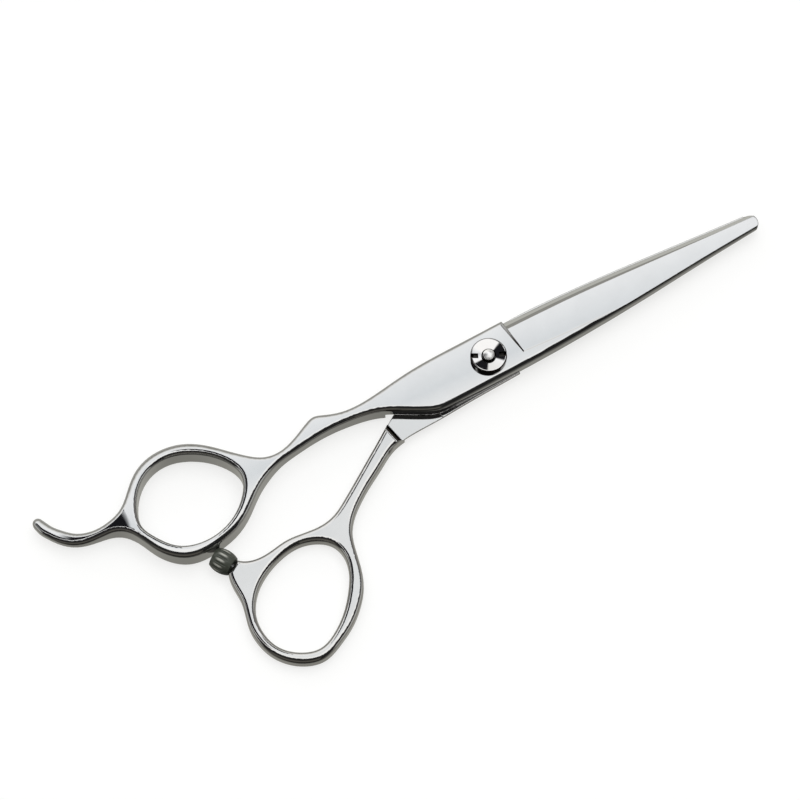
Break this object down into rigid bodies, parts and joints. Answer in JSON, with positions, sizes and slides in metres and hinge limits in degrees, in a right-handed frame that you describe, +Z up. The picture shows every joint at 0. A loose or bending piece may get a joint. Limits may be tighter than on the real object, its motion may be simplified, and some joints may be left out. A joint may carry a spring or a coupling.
{
  "type": "hair cutting shears",
  "caption": "Offset hair cutting shears with a screw pivot and dished tension dial, a finger ring with an integral finger rest, an egg-shaped thumb ring and a rubber bumper.",
  "frame": {"origin": "the pivot axis where it meets the surface the shears lie on, at the bolt head's outer face", "axes": "+X along the closed blades to their tips, +Z up the pivot bolt to the tension dial, +Y towards the finger ring's outer side"},
  "size_m": [0.1597, 0.053, 0.0077],
  "materials": {
    "finger_steel": "mirror-polished stainless steel",
    "thumb_steel": "mirror-polished stainless steel",
    "bolt_steel": "turned and polished steel",
    "dial_steel": "turned and polished, dished face",
    "washer_steel": "plain spring steel",
    "bush_bronze": "plain bearing bronze",
    "washer_plastic": "smooth low-friction plastic",
    "bumper_rubber": "ribbed, slightly translucent grey-green rubber"
  },
  "bodies": {
    "finger_half": {"finger_blade": "finger_steel", "pivot_bush": "bush_bronze", "thrust_washer": "washer_steel"},
    "thumb_half": {"thumb_blade": "thumb_steel", "slide_washer": "washer_plastic", "pivot_bolt": "bolt_steel", "click_plate": "washer_steel", "spring_washer": "washer_steel", "bumper_stud": "washer_steel", "bumper": "bumper_rubber"},
    "dial": {"tension_dial": "dial_steel"}
  },
  "joints": [
    {"name": "pivot", "type": "hinge", "parent": "finger_half", "child": "thumb_half", "pos_m": [0, 0, 0], "axis": [0, 0, 1], "range_deg": [0, 90]},
    {"name": "dial_turn", "type": "hinge", "parent": "thumb_half", "child": "dial", "pos_m": [0, 0, 0], "axis": [0, 0, 1], "range_deg": [-90, 90]}
  ]
}
